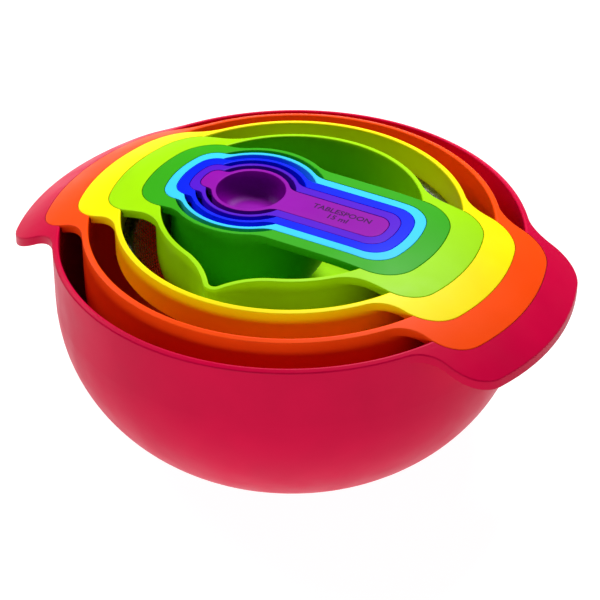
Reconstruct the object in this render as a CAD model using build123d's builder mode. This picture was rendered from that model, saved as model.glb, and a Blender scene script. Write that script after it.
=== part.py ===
"""A nest of nine kitchen vessels: two mixing bowls, a colander, a sieve and five measures.

Every vessel hangs by its handle and its lug in shallow pockets of the next larger one, so the
tops of all the handles make one smooth crown. Millimetres, +Z up, the handles along +X.
The origin is the centre of the underside of the large bowl's base pad.
"""
from build123d import *
from math import hypot, isclose, radians, sin, sqrt
from typing import NamedTuple
import os

# The crown: the surface that all rims and handles share, flat in the middle and drooping outside
CROWN_Z = 144.0
CROWN_X = 3.0
CROWN_FLAT_R = 50.0
CROWN_BEND_R = 188.0
CROWN_SWEEP = 48.0     # degrees of the bend, enough to pass the largest handle
CLEAR_TOP = CROWN_Z + 6.0

# How the handles nest
PLATE = 1.8            # thickness of a handle plate
REST_GAP = 0.3         # clearance under a nested plate
SEAM = 0.35            # clearance around a nested plate
TRAY_WALL = 1.15       # wall around a pocket, below the plate
LEVEL = PLATE + REST_GAP
STEP = SEAM + TRAY_WALL
TUCK = 1.0             # skirts and trays start this far inside the plate
SKIRT_DEPTH = 4.5      # height of a handle's turned-down edge
SKIRT_WALL = 2.0
SKIRT_CLEAR = 0.9      # between a skirt and the wall of the next larger vessel

END_BULGE = 2.2        # radius of a handle's end arc over its half width
HEEL_TURN = 35.0       # degrees turned by the arc between the flat foot and the body arc
PAD = 1.6              # thickness of the non-slip base pads


class Tab(NamedTuple):
    """A handle or lug in plan."""
    tip_x: float
    half_width: float
    corner_r: float
    neck_r: float


class Vessel(NamedTuple):
    x: float           # centre of the rim along X
    rim_r: float
    wall: float
    foot_z: float      # underside of the floor
    foot_r: float      # flat part of the underside
    body_r: float      # arc between the heel and the upright wall
    lip_r: float       # rounding of the outer top edge
    mouth_r: float     # rounding of the inner top edge
    handle: Tab
    lug: Tab


CUPS_X = -26.0
LARGE = Vessel(0, 133.0, 3.6, PAD, 58.0, 95.7, 1.0, 1.0,
               Tab(161.0, 65.0, 24, 22), Tab(-161.0, 65.0, 24, 22))
COLANDER = Vessel(0, 116.3, 3.6, 22.0, 50.0, 83.0, 0.5, 1.0,
                  Tab(143.1, 58.3, 23, 22), Tab(-142.5, 58.3, 23, 22))
SIEVE = Vessel(0, 98.0, 3.4, 119.0, 90.0, 4.0, 0.5, 1.0,
               Tab(125.3, 51.5, 24, 22), Tab(-123.0, 51.5, 24, 20))
SMALL = Vessel(0, 75.3, 3.0, 84.0, 44.0, 36.0, 0.5, 0.8,
               Tab(107.5, 44.5, 21, 25), Tab(-104.7, 44.5, 21, 25))
CUP_250 = Vessel(CUPS_X, 45.1, 2.8, 90.1, 22.0, 30.0, 0.4, 0.6,
                 Tab(89.2, 37.4, 22, 20), Tab(-86.3, 36.0, 22, 20))
CUP_125 = Vessel(CUPS_X, 39.5, 2.4, 103.0, 14.0, 28.0, 0.4, 0.5,
                 Tab(76.5, 29.1, 17, 15), Tab(-73.4, 27.0, 13, 8))
CUP_85 = Vessel(CUPS_X, 33.2, 2.4, 106.6, 14.0, 20.0, 0.4, 0.5,
                Tab(70.7, 23.2, 14, 13), Tab(-67.6, 21.0, 11, 7))
CUP_60 = Vessel(CUPS_X, 27.4, 2.3, 109.6, 13.0, 13.0, 0.4, 0.5,
                Tab(63.9, 16.8, 11, 11), Tab(-61.1, 15.0, 8, 4))
SPOON = Vessel(CUPS_X, 21.9, 2.5, 126.9, 10.0, 12.0, 0.4, 0.5,
               Tab(58.3, 10.5, 8, 9), Tab(-55.8, 9.5, 6, 4))

# The small bowl's pouring spout, at the middle of the -Y side
SPOUT_TIP_Y = -89.3
SPOUT_TIP_R = 7.0
SPOUT_FLARE_R = 55.0
SPOUT_CHIN_R = 40.0    # rounding of the slanted underside of the spout
SPOUT_CHIN_Z = 132.0   # the spout is upright above this height at its tip
SPOUT_SLANT = 25.0     # degrees from upright of its underside
SPOUT_ZONE_Y = -60.0   # everything of the spout lies beyond this line
SPOUT_LOW_Z = 95.0

# The sieve: a moulded ring with a ledge that carries a dished wire mesh
LEDGE = 2.4
LEDGE_R = 90.5
MESH_WALL = 0.8
MESH_HEM_R = 94.3
MESH_R = 90.2
MESH_DEPTH = 66.0

# The colander's drain holes
HOLE_R = 2.3
HOLE_RING_PITCH = 11.5
HOLE_RINGS = 7
HOLE_RING_STEP = 6     # holes added by each ring
HOLE_REACH = 45.0

LARGE_PAD_R = 56.0
SMALL_PAD_R = 34.0
PAD_EDGE_R = 0.5


def crown(depth):
    """Everything below the crown surface, or below its parallel surface a depth under it."""
    with BuildPart() as below:
        with BuildSketch(Plane((CROWN_X, 0, 0), x_dir=(0, 1, 0), z_dir=(1, 0, 0))):
            with BuildLine():
                flat = Line((0, CROWN_Z - depth), (CROWN_FLAT_R, CROWN_Z - depth))
                bend = JernArc(flat @ 1, (1, 0), CROWN_BEND_R - depth, -CROWN_SWEEP)
                Polyline(bend @ 1, ((bend @ 1).X, -PAD), (0, -PAD), flat @ 0)
            make_face()
        revolve(axis=Axis((CROWN_X, 0, 0), (0, 0, 1)))
    return below.part


def crown_height(x, y):
    """Height of the crown surface over a point."""
    out = max(0.0, hypot(x - CROWN_X, y) - CROWN_FLAT_R)
    return CROWN_Z - CROWN_BEND_R + sqrt(CROWN_BEND_R**2 - out**2)


def on_crown(edge):
    """Whether an edge bounds the top: it lies on the crown and is no seam of the crown itself."""
    points = [edge @ t for t in (0.1, 0.5, 0.9)]
    lies_on = all(abs(p.Z - crown_height(p.X, p.Y)) < 0.01 for p in points)
    is_seam = all(abs(p.X - CROWN_X) < 0.01 for p in points)
    is_bend = all(abs(hypot(p.X - CROWN_X, p.Y) - CROWN_FLAT_R) < 0.01 for p in points)
    return lies_on and not is_seam and not is_bend


def end_tab(tab, root_x, grow):
    """Plan of a handle or lug: straight sides, rounded corners and a slightly bulged end."""
    side = 1 if tab.tip_x > root_x else -1
    half_width, tip_x = tab.half_width + grow, tab.tip_x + side * grow
    bulge_r = END_BULGE * tab.half_width + grow
    sagitta = bulge_r - sqrt(bulge_r**2 - half_width**2)
    corner_x = tip_x - side * sagitta
    with BuildSketch() as plan:
        with BuildLine():
            Polyline((corner_x, half_width), (root_x, half_width),
                     (root_x, -half_width), (corner_x, -half_width))
            ThreePointArc((corner_x, -half_width), (tip_x, 0), (corner_x, half_width))
        make_face()
        fillet(plan.vertices().group_by(Axis.X)[-1 if side > 0 else 0], tab.corner_r + grow)
    return plan.sketch


def spouted_circle(grow):
    """The small bowl's rim: a circle with a tip arc and a concave flare arc on either side."""
    radius, tip_r, flare_r = SMALL.rim_r + grow, SPOUT_TIP_R + grow, SPOUT_FLARE_R - grow
    tip = Vector(0, SPOUT_TIP_Y + SPOUT_TIP_R)
    flare_y = ((radius + flare_r)**2 - (tip_r + flare_r)**2 + tip.Y**2) / (2 * tip.Y)
    flare = Vector(sqrt((radius + flare_r)**2 - flare_y**2), flare_y)
    root = flare.normalized() * radius
    end = tip + (flare - tip).normalized() * tip_r
    middle = flare + ((root + end) / 2 - flare).normalized() * flare_r
    with BuildSketch() as plan:
        with BuildLine():
            ThreePointArc((root.X, root.Y), (0, radius), (-root.X, root.Y))
            ThreePointArc((-root.X, root.Y), (-middle.X, middle.Y), (-end.X, end.Y))
            ThreePointArc((-end.X, end.Y), (0, tip.Y - tip_r), (end.X, end.Y))
            ThreePointArc((end.X, end.Y), (middle.X, middle.Y), (root.X, root.Y))
        make_face()
    return plan.sketch


def rim_plan(v, grow=0.0):
    """Plan of a vessel without its handle and lug, grown all round."""
    if v is SMALL:
        return spouted_circle(grow)
    with BuildSketch() as plan:
        with Locations((v.x, 0)):
            Circle(v.rim_r + grow)
    return plan.sketch


def outline(v, grow=0.0):
    """Plan of a whole vessel, grown all round: its rim, handle and lug, blended at the necks."""
    rim = rim_plan(v, grow)
    tabs = [(v.handle, 1), (v.lug, -1)]
    with BuildSketch() as plan:
        add(rim)
        for tab, side in tabs:
            add(end_tab(tab, v.x, grow))
        for tab, side in tabs:
            neck = [p for p in plan.vertices()
                    if side * (p.X - v.x) > 0
                    and isclose(abs(p.Y), tab.half_width + grow, abs_tol=0.001)
                    and isclose(hypot(p.X - v.x, p.Y), v.rim_r + grow, abs_tol=0.001)]
            if tab.neck_r > grow:
                fillet(neck, tab.neck_r - grow)
    return plan.sketch


def outside_rim(plan, v):
    """The part of a plan beyond the middle of a vessel's wall."""
    with BuildSketch() as beyond:
        add(plan)
        with Locations((v.x, 0)):
            Circle(v.rim_r - v.wall / 2, mode=Mode.SUBTRACT)
    return beyond.sketch


def sheet(plan, top_depth, bottom_depth):
    """Material over a plan, between two depths under the crown surface."""
    top, bottom = crown(top_depth), crown(bottom_depth)
    with BuildPart() as layer:
        with BuildSketch():
            add(plan)
        extrude(amount=CLEAR_TOP)
        add(top, mode=Mode.INTERSECT)
        add(bottom, mode=Mode.SUBTRACT)
    return layer.part


def pocket(plan, depth):
    """Cutter over a plan, from a depth under the crown surface upwards."""
    bottom = crown(depth)
    with BuildPart() as cutter:
        with BuildSketch():
            add(plan)
        extrude(amount=CLEAR_TOP)
        add(bottom, mode=Mode.SUBTRACT)
    return cutter.part


def bowl_solid(v, inset=0.0):
    """The solid inside a vessel's outer face, or inside its inner face when inset by the wall."""
    turn = sin(radians(HEEL_TURN))
    heel_r = (v.rim_r - v.foot_r - v.body_r * (1 - turn)) / turn
    with BuildPart() as solid:
        with BuildSketch(Plane((v.x, 0, 0), x_dir=(0, 1, 0), z_dir=(1, 0, 0))):
            with BuildLine():
                foot = Line((0, v.foot_z + inset), (v.foot_r, v.foot_z + inset))
                heel = JernArc(foot @ 1, (1, 0), heel_r - inset, HEEL_TURN)
                body = JernArc(heel @ 1, heel % 1, v.body_r - inset, 90 - HEEL_TURN)
                Polyline(body @ 1, (v.rim_r - inset, CLEAR_TOP), (0, CLEAR_TOP), foot @ 0)
            make_face()
        revolve(axis=Axis((v.x, 0, 0), (0, 0, 1)))
    return solid.part


def spout_solid(inset=0.0):
    """The small bowl's spout outside its round wall, or the spout's hollow when inset."""
    edge_plan = outline(SMALL, -inset)
    zone = 2 * SMALL.rim_r
    upright = Plane((0, SPOUT_TIP_Y, SPOUT_CHIN_Z), x_dir=(1, 0, 0), z_dir=(0, 0, 1))
    with BuildPart() as solid:
        with BuildSketch(Plane.XY.offset(SPOUT_LOW_Z)):
            add(edge_plan)
            Circle(SMALL.rim_r - inset - SMALL.wall / 2, mode=Mode.SUBTRACT)
            with Locations((0, SPOUT_ZONE_Y)):
                Rectangle(zone, zone, align=(Align.CENTER, Align.MAX), mode=Mode.INTERSECT)
        extrude(amount=CLEAR_TOP - SPOUT_LOW_Z)
        with BuildSketch(upright.rotated((SPOUT_SLANT, 0, 0))):
            with Locations((0, SPOUT_CHIN_R)):
                Circle(SPOUT_CHIN_R - inset)
        extrude(amount=CLEAR_TOP, both=True, mode=Mode.INTERSECT)
    return solid.part


def moulded(v, nested, outer, inner, limit=None):
    """One moulded vessel, with the pockets that its nested neighbours' handles lie in.

    nested holds the vessels whose handles reach over this rim, nearest first.
    limit is the next larger vessel, whose mouth holds this one's turned-down handle edges.
    """
    tabs = outside_rim(outline(v), v)
    trays, pockets = [], []
    for level, small in enumerate(nested, start=1):
        tray_plan = outside_rim(outline(small, level * STEP), v)
        trays.append(sheet(tray_plan, TUCK, level * LEVEL + PLATE))
        pockets.append(pocket(outline(small, level * STEP - TRAY_WALL), level * LEVEL))
    with BuildSketch() as rib:
        add(tabs)
        add(outline(v, -SKIRT_WALL), mode=Mode.SUBTRACT)
        if limit:
            with Locations((limit.x, 0)):
                Circle(limit.rim_r - limit.wall - SKIRT_CLEAR, mode=Mode.INTERSECT)
    skirt = sheet(rib.sketch, TUCK, SKIRT_DEPTH)
    plate, top = sheet(tabs, 0, PLATE), crown(0)
    mid_wall = rim_plan(v, -v.wall / 2).face()

    def in_mouth(edge):
        return mid_wall.is_inside(Vector((edge @ 0.5).X, (edge @ 0.5).Y))

    with BuildPart() as vessel:
        add(outer)
        add(top, mode=Mode.INTERSECT)
        add(plate)
        add(inner, mode=Mode.SUBTRACT)
        fillet(vessel.edges().filter_by(lambda e: on_crown(e) and not in_mouth(e)), v.lip_r)
        fillet(vessel.edges().filter_by(lambda e: on_crown(e) and in_mouth(e)), v.mouth_r)
        add(skirt)
        for tray in trays:
            add(tray)
        for cutter in pockets:
            add(cutter, mode=Mode.SUBTRACT)
    return vessel.part


def bowl(v, nested, limit=None):
    return moulded(v, nested, bowl_solid(v), bowl_solid(v, v.wall), limit)


def spouted_bowl(inset=0.0):
    round_part, spout = bowl_solid(SMALL, inset), spout_solid(inset)
    with BuildPart() as solid:
        add(round_part)
        add(spout)
    return solid.part


def ring_solid(steps):
    """A solid of revolution inside the sieve's ring, stepped out at each (height, radius)."""
    with BuildPart() as solid:
        with BuildSketch(Plane.YZ):
            for z, radius in steps:
                with Locations((0, z)):
                    Rectangle(radius, CLEAR_TOP - z, align=(Align.MIN, Align.MIN))
        revolve(axis=Axis.Z)
    return solid.part


def save(part, name):
    part.label = name
    export_step(part, f"parts/{name}.step")


os.makedirs("parts", exist_ok=True)

# Large mixing bowl and its base pad
large_body = bowl(LARGE, [COLANDER])
with BuildPart() as large_bowl:
    add(large_body)
save(large_bowl.part, "large_bowl")

with BuildPart() as large_bowl_base:
    Cylinder(LARGE_PAD_R, PAD, align=(Align.CENTER, Align.CENTER, Align.MIN))
    fillet(large_bowl_base.edges().group_by(Axis.Z)[0], PAD_EDGE_R)
save(large_bowl_base.part, "large_bowl_base")

# Colander, with drain holes through its floor and heel
colander_body = bowl(COLANDER, [SIEVE], LARGE)
with BuildPart() as colander:
    add(colander_body)
    with BuildSketch(Plane.XY.offset(COLANDER.foot_z - 1)):
        Circle(HOLE_R)
        for ring in range(1, HOLE_RINGS + 1):
            with PolarLocations(ring * HOLE_RING_PITCH, HOLE_RING_STEP * ring):
                Circle(HOLE_R)
    extrude(amount=HOLE_REACH, mode=Mode.SUBTRACT)
save(colander.part, "colander")

# Sieve: a ring with a ledge inside its lower edge, and the wire mesh lying on the ledge
ring_outside = ring_solid([(SIEVE.foot_z, SIEVE.rim_r)])
ring_inside = ring_solid([(SIEVE.foot_z, LEDGE_R), (SIEVE.foot_z + LEDGE, SIEVE.rim_r - SIEVE.wall)])
sieve_body = moulded(SIEVE, [SMALL], ring_outside, ring_inside, COLANDER)
with BuildPart() as sieve_frame:
    add(sieve_body)
save(sieve_frame.part, "sieve_frame")

hem_z = SIEVE.foot_z + LEDGE
dish_r = (MESH_R**2 + MESH_DEPTH**2) / (2 * MESH_DEPTH)
with BuildPart() as sieve_mesh:
    with BuildSketch(Plane.YZ):
        with Locations((0, hem_z - MESH_DEPTH + dish_r)):
            Circle(dish_r)
            Circle(dish_r - MESH_WALL, mode=Mode.SUBTRACT)
        with Locations((0, hem_z + MESH_WALL)):
            Rectangle(MESH_HEM_R, 2 * dish_r, align=(Align.MIN, Align.MAX), mode=Mode.INTERSECT)
        with Locations((MESH_R - 2 * MESH_WALL, hem_z)):
            Rectangle(MESH_HEM_R - MESH_R + 2 * MESH_WALL, MESH_WALL, align=(Align.MIN, Align.MIN))
    revolve(axis=Axis.Z)
save(sieve_mesh.part, "sieve_mesh")

# Small mixing bowl with its pouring spout, and its base pad
small_nested = [CUP_250, CUP_125, CUP_85]
small_body = moulded(SMALL, small_nested, spouted_bowl(), spouted_bowl(SMALL.wall), SIEVE)
with BuildPart() as small_bowl:
    add(small_body)
save(small_bowl.part, "small_bowl")

with BuildPart() as small_bowl_base:
    with Locations((0, 0, SMALL.foot_z - PAD)):
        Cylinder(SMALL_PAD_R, PAD, align=(Align.CENTER, Align.CENTER, Align.MIN))
    fillet(small_bowl_base.edges().group_by(Axis.Z)[0], PAD_EDGE_R)
save(small_bowl_base.part, "small_bowl_base")

# The five measures, each nested in the next
cup_250_body = bowl(CUP_250, [CUP_125, CUP_85, CUP_60, SPOON], SMALL)
with BuildPart() as cup_250ml:
    add(cup_250_body)
save(cup_250ml.part, "cup_250ml")

cup_125_body = bowl(CUP_125, [CUP_85, CUP_60, SPOON], CUP_250)
with BuildPart() as cup_125ml:
    add(cup_125_body)
save(cup_125ml.part, "cup_125ml")

cup_85_body = bowl(CUP_85, [CUP_60, SPOON], CUP_125)
with BuildPart() as cup_85ml:
    add(cup_85_body)
save(cup_85ml.part, "cup_85ml")

cup_60_body = bowl(CUP_60, [SPOON], CUP_85)
with BuildPart() as cup_60ml:
    add(cup_60_body)
save(cup_60ml.part, "cup_60ml")

spoon_body = bowl(SPOON, [], CUP_60)
with BuildPart() as spoon_15ml:
    add(spoon_body)
save(spoon_15ml.part, "spoon_15ml")
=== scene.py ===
"""Looks for the nest of bowls, colander, sieve and measures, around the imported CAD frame."""
import math

import bpy
from mathutils import Matrix, Vector


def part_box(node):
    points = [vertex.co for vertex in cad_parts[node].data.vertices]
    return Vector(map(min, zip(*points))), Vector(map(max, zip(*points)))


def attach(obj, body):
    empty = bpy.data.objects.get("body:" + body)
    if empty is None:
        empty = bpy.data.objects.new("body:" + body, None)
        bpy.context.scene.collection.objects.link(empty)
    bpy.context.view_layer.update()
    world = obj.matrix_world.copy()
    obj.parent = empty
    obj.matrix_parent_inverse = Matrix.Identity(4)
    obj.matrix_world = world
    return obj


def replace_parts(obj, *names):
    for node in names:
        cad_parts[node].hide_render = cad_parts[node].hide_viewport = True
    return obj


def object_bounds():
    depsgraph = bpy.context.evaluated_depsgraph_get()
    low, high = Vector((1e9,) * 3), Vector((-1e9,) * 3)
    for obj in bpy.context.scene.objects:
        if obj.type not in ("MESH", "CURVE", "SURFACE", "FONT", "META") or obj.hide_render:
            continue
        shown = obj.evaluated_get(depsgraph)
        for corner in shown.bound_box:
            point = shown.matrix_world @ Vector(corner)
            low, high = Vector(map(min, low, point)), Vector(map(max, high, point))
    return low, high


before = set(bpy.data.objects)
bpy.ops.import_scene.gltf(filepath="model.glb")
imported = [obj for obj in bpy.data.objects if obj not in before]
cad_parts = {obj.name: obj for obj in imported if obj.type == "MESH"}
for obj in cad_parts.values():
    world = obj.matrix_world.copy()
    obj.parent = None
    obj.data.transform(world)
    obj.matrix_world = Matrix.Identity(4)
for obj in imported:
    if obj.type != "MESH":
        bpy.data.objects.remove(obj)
cad_low, cad_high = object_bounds()

# Camera, as solved from the rims: a long lens, 29 degrees round from the front and 35 degrees up
CAMERA_AZIMUTH = 29.0
CAMERA_ELEVATION = 35.2
CAMERA_DISTANCE = 1.331
CAMERA_LENS = 144.0
SENSOR_WIDTH = 36.0
AIM_HEIGHT = 0.1305
AIM_RIGHT = -0.00342   # where the aim point lies from the optical axis, as a share of the distance
AIM_DOWN = -0.03238

# The crowned surface that the tops of all the handles share
CROWN_X = 0.003
CROWN_FLAT_R = 0.050
CROWN_BEND_R = 0.188

# The sieve's woven wire
WIRE_PITCH = 0.0018
WIRE_R = 0.00024
WEAVE_R = 0.00026      # how far a wire rises and falls over the ones it crosses
WIRE_SIDES = 3
MESH_SKIN = 0.0008     # thickness of the CAD dish
HEM_R = 0.0900         # radius at which the wires run out flat onto the ledge
HEM_TO_RIM = 0.0002    # from there to the edge of the CAD dish
HEM_STEPS = 180

# The words on the spoon's handle
MARK_X = 0.030
MARK_SIZE = 0.0058
MARK_HALF_THICKNESS = 0.00010
MARK_BOLD = 0.00010
MARK_SINK = 0.00004    # how far the middle of the figure lies below the crown

# Studio
FLOOR_HALF = 12.0
FLOOR_GREY = 0.25
FLOOR_GLOW = 0.97
WORLD_STRENGTH = 0.07
STUDIO_CENTRE = (0, 0, 0.08)


def srgb(red, green, blue):
    """An sRGB colour of 0 to 255 as linear RGBA."""
    def linear(level):
        share = level / 255
        return share / 12.92 if share <= 0.04045 else ((share + 0.055) / 1.055) ** 2.4
    return (linear(red), linear(green), linear(blue), 1.0)


# Node materials

def new_material(name):
    material = bpy.data.materials.new(name)
    material.use_nodes = True
    nodes = material.node_tree.nodes
    nodes.clear()
    output = nodes.new("ShaderNodeOutputMaterial")
    shader = nodes.new("ShaderNodeBsdfPrincipled")
    material.node_tree.links.new(shader.outputs["BSDF"], output.inputs["Surface"])
    return material, nodes, material.node_tree.links, shader


def noise(nodes, links, scale, detail, seed_shift=0.0):
    """Noise over the object's own coordinates, in cells of about 1/scale metres."""
    coordinates = nodes.new("ShaderNodeTexCoord")
    mapping = nodes.new("ShaderNodeMapping")
    mapping.inputs["Location"].default_value = (seed_shift, 2 * seed_shift, -seed_shift)
    texture = nodes.new("ShaderNodeTexNoise")
    texture.inputs["Scale"].default_value = scale
    texture.inputs["Detail"].default_value = detail
    links.new(coordinates.outputs["Object"], mapping.inputs["Vector"])
    links.new(mapping.outputs["Vector"], texture.inputs["Vector"])
    return texture.outputs["Fac"]


def ranged(nodes, links, value, low, high, from_low=0.3, from_high=0.7):
    spread = nodes.new("ShaderNodeMapRange")
    spread.inputs["From Min"].default_value = from_low
    spread.inputs["From Max"].default_value = from_high
    spread.inputs["To Min"].default_value = low
    spread.inputs["To Max"].default_value = high
    links.new(value, spread.inputs["Value"])
    return spread.outputs["Result"]


def mixed(nodes, links, factor, first, second):
    """A colour mix of two colours or sockets."""
    mix = nodes.new("ShaderNodeMix")
    mix.data_type = "RGBA"
    links.new(factor, mix.inputs["Factor"])
    for socket, colour in ((mix.inputs["A"], first), (mix.inputs["B"], second)):
        if isinstance(colour, tuple):
            socket.default_value = colour
        else:
            links.new(colour, socket)
    return mix.outputs["Result"]


def scaled(colour, share):
    return tuple(min(1.0, level * share) for level in colour[:3]) + (1.0,)


def moulded_plastic(name, colour, seed, gloss=0.38):
    """Coloured moulded plastic: faint cloudiness, a satin skin of uneven gloss and fine grain."""
    material, nodes, links, shader = new_material(name)
    cloud = noise(nodes, links, 22.0, 3.0, seed)
    clouding = ranged(nodes, links, cloud, 0.0, 1.0)
    body = mixed(nodes, links, clouding, scaled(colour, 0.93), scaled(colour, 1.05))
    links.new(body, shader.inputs["Base Color"])
    sheen_patch = noise(nodes, links, 60.0, 4.0, seed + 3.0)
    links.new(ranged(nodes, links, sheen_patch, gloss - 0.04, gloss + 0.06), shader.inputs["Roughness"])
    grain = noise(nodes, links, 900.0, 2.0, seed + 5.0)
    flow = noise(nodes, links, 34.0, 1.0, seed + 7.0)
    fine = nodes.new("ShaderNodeBump")
    fine.inputs["Strength"].default_value = 0.05
    fine.inputs["Distance"].default_value = 0.00005
    links.new(grain, fine.inputs["Height"])
    broad = nodes.new("ShaderNodeBump")
    broad.inputs["Strength"].default_value = 0.08
    broad.inputs["Distance"].default_value = 0.0003
    links.new(flow, broad.inputs["Height"])
    links.new(fine.outputs["Normal"], broad.inputs["Normal"])
    links.new(broad.outputs["Normal"], shader.inputs["Normal"])
    shader.inputs["IOR"].default_value = 1.49
    shader.inputs["Specular IOR Level"].default_value = 0.07
    return material


def soft_rubber(name, colour, seed):
    """Matt rubber with a pebbled skin."""
    material, nodes, links, shader = new_material(name)
    cloud = noise(nodes, links, 40.0, 3.0, seed)
    clouding = ranged(nodes, links, cloud, 0.0, 1.0)
    body = mixed(nodes, links, clouding, scaled(colour, 0.85), scaled(colour, 1.1))
    links.new(body, shader.inputs["Base Color"])
    pebble = noise(nodes, links, 1400.0, 2.0, seed + 2.0)
    links.new(ranged(nodes, links, pebble, 0.62, 0.8), shader.inputs["Roughness"])
    bump = nodes.new("ShaderNodeBump")
    bump.inputs["Strength"].default_value = 0.35
    bump.inputs["Distance"].default_value = 0.0001
    links.new(pebble, bump.inputs["Height"])
    links.new(bump.outputs["Normal"], shader.inputs["Normal"])
    return material


def steel_wire(name):
    """Stainless wire, a little uneven in tone and gloss; its grey is darkened below bare steel as
    painted shade.
    """
    material, nodes, links, shader = new_material(name)
    tone = noise(nodes, links, 300.0, 3.0, 1.0)
    toning = ranged(nodes, links, tone, 0.0, 1.0)
    # Both greys sit well below bare stainless steel: painted shade for the dark inside of the sieve. The
    # noise between them is random tone.
    body = mixed(nodes, links, toning, srgb(120, 122, 122), srgb(158, 160, 160))
    links.new(body, shader.inputs["Base Color"])
    links.new(ranged(nodes, links, tone, 0.22, 0.36), shader.inputs["Roughness"])
    drawn = noise(nodes, links, 5000.0, 1.0, 4.0)
    bump = nodes.new("ShaderNodeBump")
    bump.inputs["Strength"].default_value = 0.2
    bump.inputs["Distance"].default_value = 0.00003
    links.new(drawn, bump.inputs["Height"])
    links.new(bump.outputs["Normal"], shader.inputs["Normal"])
    shader.inputs["Metallic"].default_value = 1.0
    return material


CRIMSON = srgb(208, 0, 62)
ORANGE = srgb(255, 76, 8)
YELLOW = srgb(255, 232, 0)
LIME = srgb(158, 222, 0)
GREEN = srgb(52, 164, 20)
CYAN = srgb(58, 200, 252)
BLUE = srgb(0, 32, 248)
INDIGO = srgb(80, 14, 196)
PURPLE = srgb(140, 0, 162)

PLASTICS = {
    "large_bowl": CRIMSON,
    "colander": ORANGE,
    "sieve_frame": YELLOW,
    "small_bowl": LIME,
    "cup_250ml": GREEN,
    "cup_125ml": CYAN,
    "cup_85ml": BLUE,
    "cup_60ml": INDIGO,
    "spoon_15ml": PURPLE,
}

PADS = {
    "large_bowl_base": (scaled(CRIMSON, 0.45), 2.0),
    "small_bowl_base": (scaled(LIME, 0.5), 5.0),
}


def dress(node, material):
    """Gives a CAD node one material."""
    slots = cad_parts[node].data.materials
    slots.clear()
    slots.append(material)


for count, (node, colour) in enumerate(PLASTICS.items()):
    dress(node, moulded_plastic("plastic_" + node, colour, 1.7 * count))

for node, (colour, seed) in PADS.items():
    dress(node, soft_rubber("rubber_" + node, colour, seed))


# The sieve's woven wire, pressed into the dish of the CAD mesh node

def dish(low, high):
    """Centre height and middle radius of the dish, and the surface distance from its pole to the hem."""
    depth = high.z - MESH_SKIN - low.z
    rim_r = HEM_R + HEM_TO_RIM
    outer_r = (rim_r**2 + depth**2) / (2 * depth)
    radius = outer_r - MESH_SKIN / 2
    return low.z + outer_r, radius, radius * math.asin(HEM_R / outer_r)


def steel_piece(name, vertices, faces):
    """A smooth steel mesh that rides on the sieve."""
    mesh = bpy.data.meshes.new(name)
    mesh.from_pydata(vertices, [], faces)
    mesh.validate()
    mesh.polygons.foreach_set("use_smooth", [True] * len(mesh.polygons))
    mesh.materials.append(WIRE_STEEL)
    piece = bpy.data.objects.new(name, mesh)
    bpy.context.scene.collection.objects.link(piece)
    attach(piece, "sieve")
    return piece


def woven_wires(name, along_x):
    """Every wire of one direction, each going over and under the ones it crosses."""
    low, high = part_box("sieve_mesh")
    centre_z, radius, reach = dish(low, high)

    def place(u, v, lift):
        out = math.hypot(u, v)
        turn = min(out, reach) / radius
        spread = radius + lift
        if out < 1e-9:
            return Vector((0, 0, centre_z - spread)), Vector((0, 0, -1))
        way_x, way_y = u / out, v / out
        normal = Vector((way_x * math.sin(turn), way_y * math.sin(turn), -math.cos(turn)))
        return Vector((0, 0, centre_z)) + normal * spread, normal

    lines = int(reach / WIRE_PITCH)
    vertices, faces = [], []
    for line in range(-lines, lines + 1):
        u = line * WIRE_PITCH
        half = math.sqrt(max(0.0, reach**2 - u**2))
        crossings = int(half / WIRE_PITCH)
        if crossings < 1:
            continue
        path = []
        for step in range(-2 * crossings, 2 * crossings + 1):
            v = step * WIRE_PITCH / 2
            over = math.cos(math.pi * (step / 2 + line + (0 if along_x else 1)))
            lift = WEAVE_R * over
            path.append(place(v, u, lift) if along_x else place(u, v, lift))
        first = len(vertices)
        for k, (point, normal) in enumerate(path):
            ahead = path[min(k + 1, len(path) - 1)][0] - path[max(k - 1, 0)][0]
            side = ahead.normalized().cross(normal)
            for corner in range(WIRE_SIDES):
                angle = 2 * math.pi * corner / WIRE_SIDES
                vertices.append(point + WIRE_R * (math.cos(angle) * normal + math.sin(angle) * side))
        for k in range(len(path) - 1):
            for corner in range(WIRE_SIDES):
                a = first + k * WIRE_SIDES + corner
                b = first + k * WIRE_SIDES + (corner + 1) % WIRE_SIDES
                faces.append((a, b, b + WIRE_SIDES, a + WIRE_SIDES))
        last = first + (len(path) - 1) * WIRE_SIDES
        faces.append(tuple(first + c for c in reversed(range(WIRE_SIDES))))
        faces.append(tuple(last + c for c in range(WIRE_SIDES)))
    return steel_piece(name, vertices, faces)


def hem_band():
    """The pressed steel edge that holds the wires, lying on the ledge inside the sieve's ring."""
    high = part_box("sieve_mesh")[1]
    top, bottom, outer = high.z, high.z - MESH_SKIN, high.x
    profile = [
        (HEM_R - 0.0016, bottom - 0.0012), (HEM_R - 0.0004, bottom - 0.0002), (HEM_R + 0.0004, bottom),
        (outer - 0.0004, bottom), (outer, bottom + 0.0003), (outer, top - 0.0003), (outer - 0.0004, top),
        (HEM_R - 0.0004, top), (HEM_R - 0.0014, top - 0.0005), (HEM_R - 0.0022, bottom - 0.0010),
    ]
    vertices, faces = [], []
    for step in range(HEM_STEPS):
        angle = 2 * math.pi * step / HEM_STEPS
        for out, z in profile:
            vertices.append((out * math.cos(angle), out * math.sin(angle), z))
    count = len(profile)
    for step in range(HEM_STEPS):
        here, ahead = step * count, ((step + 1) % HEM_STEPS) * count
        for k in range(count):
            beside = (k + 1) % count
            faces.append((here + k, ahead + k, ahead + beside, here + beside))
    return steel_piece("sieve_hem", vertices, faces)


WIRE_STEEL = steel_wire("steel_wire")
woven_wires("sieve_wires_warp", True)
woven_wires("sieve_wires_weft", False)
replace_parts(hem_band(), "sieve_mesh")


# The size of the spoon, in thin raised words on its handle

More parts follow.
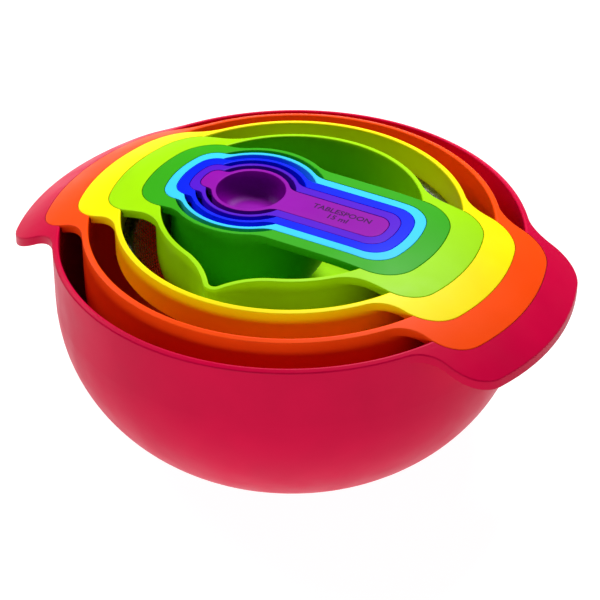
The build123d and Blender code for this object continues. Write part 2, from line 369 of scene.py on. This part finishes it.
def crown_height(x, y):
    """Height of the surface that the tops of all the handles share."""
    out = max(0.0, math.hypot(x - CROWN_X, y) - CROWN_FLAT_R)
    return cad_high.z - CROWN_BEND_R + math.sqrt(CROWN_BEND_R**2 - out**2)


def marking(name, text, body, x, material):
    """Thin raised words that lie on a handle's top at rest."""
    curve = bpy.data.curves.new(name, "FONT")
    curve.body = text
    curve.align_x, curve.align_y = "CENTER", "CENTER"
    curve.size = MARK_SIZE
    curve.extrude = MARK_HALF_THICKNESS
    curve.offset = MARK_BOLD
    curve.resolution_u = 3
    flat = bpy.data.objects.new(name + "_source", curve)
    bpy.context.scene.collection.objects.link(flat)
    bpy.context.view_layer.update()
    mesh = bpy.data.meshes.new_from_object(flat.evaluated_get(bpy.context.evaluated_depsgraph_get()))
    bpy.data.objects.remove(flat)
    mesh.name = name
    figure = bpy.data.objects.new(name, mesh)
    bpy.context.scene.collection.objects.link(figure)
    mesh.materials.clear()
    mesh.materials.append(material)
    height = crown_height(x, 0.0)
    slope = (crown_height(x + 0.001, 0.0) - crown_height(x - 0.001, 0.0)) / 0.002
    lie = Matrix.Rotation(-math.atan(slope), 4, "Y")
    mesh.transform(Matrix.Translation((x, 0.0, height - MARK_SINK)) @ lie)
    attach(figure, body)
    return figure


marking_ink = moulded_plastic("marking_purple", scaled(PURPLE, 0.22), 21.0, 0.45)
spoon_mark = marking("spoon_marking", "TABLESPOON\n15 ml", "spoon_15ml", MARK_X, marking_ink)


# Floor, light and camera

def studio_floor():
    half = FLOOR_HALF
    corners = [(-half, -half, 0), (half, -half, 0), (half, half, 0), (-half, half, 0)]
    mesh = bpy.data.meshes.new("floor")
    mesh.from_pydata(corners, [], [(0, 1, 2, 3)])
    floor = bpy.data.objects.new("floor", mesh)
    bpy.context.scene.collection.objects.link(floor)
    material, nodes, links, shader = new_material("floor_white")
    shader.inputs["Base Color"].default_value = (FLOOR_GREY, FLOOR_GREY, FLOOR_GREY, 1)
    shader.inputs["Emission Color"].default_value = (1, 1, 1, 1)
    shader.inputs["Emission Strength"].default_value = FLOOR_GLOW
    shader.inputs["Roughness"].default_value = 0.9
    shader.inputs["Specular IOR Level"].default_value = 0.2
    mesh.materials.append(material)


def area_light(name, place, aim, size, power):
    data = bpy.data.lights.new(name, "AREA")
    data.shape = "RECTANGLE"
    data.size, data.size_y = size
    data.energy = power
    lamp = bpy.data.objects.new(name, data)
    lamp.location = place
    lamp.rotation_euler = (Vector(aim) - Vector(place)).to_track_quat("-Z", "Y").to_euler()
    bpy.context.scene.collection.objects.link(lamp)


studio_floor()
azimuth, elevation = math.radians(CAMERA_AZIMUTH), math.radians(CAMERA_ELEVATION)
right = Vector((math.cos(azimuth), math.sin(azimuth), 0))
forward = Vector((-math.sin(azimuth) * math.cos(elevation), math.cos(azimuth) * math.cos(elevation),
                  -math.sin(elevation)))
up = right.cross(forward)

level_forward = Vector((-math.sin(azimuth), math.cos(azimuth), 0))
centre = Vector(STUDIO_CENTRE)


def around(to_right, to_back, height):
    return centre + right * to_right + level_forward * to_back + Vector((0, 0, height))


area_light("overhead", around(0.25, 0.65, 1.15), centre, (0.7, 0.5), 23)
area_light("key", around(-0.9, 0.6, 0.85), centre, (0.6, 0.6), 6)
area_light("front_fill", around(-0.5, -1.6, 0.12), centre, (1.2, 0.3), 7)

world = bpy.data.worlds.new("studio")
world.use_nodes = True
world.node_tree.nodes["Background"].inputs["Color"].default_value = (1, 1, 1, 1)
world.node_tree.nodes["Background"].inputs["Strength"].default_value = WORLD_STRENGTH
bpy.context.scene.world = world
bpy.context.scene.view_settings.view_transform = "Standard"

camera_data = bpy.data.cameras.new("camera")
camera_data.lens = CAMERA_LENS
camera_data.sensor_width = SENSOR_WIDTH
camera = bpy.data.objects.new("camera", camera_data)
bpy.context.scene.collection.objects.link(camera)
aim = Vector((0, 0, AIM_HEIGHT))
camera.location = aim - CAMERA_DISTANCE * (forward + AIM_RIGHT * right - AIM_DOWN * up)
rotation = Matrix((right, up, -forward)).transposed().to_4x4()
camera.rotation_euler = rotation.to_euler()
bpy.context.scene.camera = camera
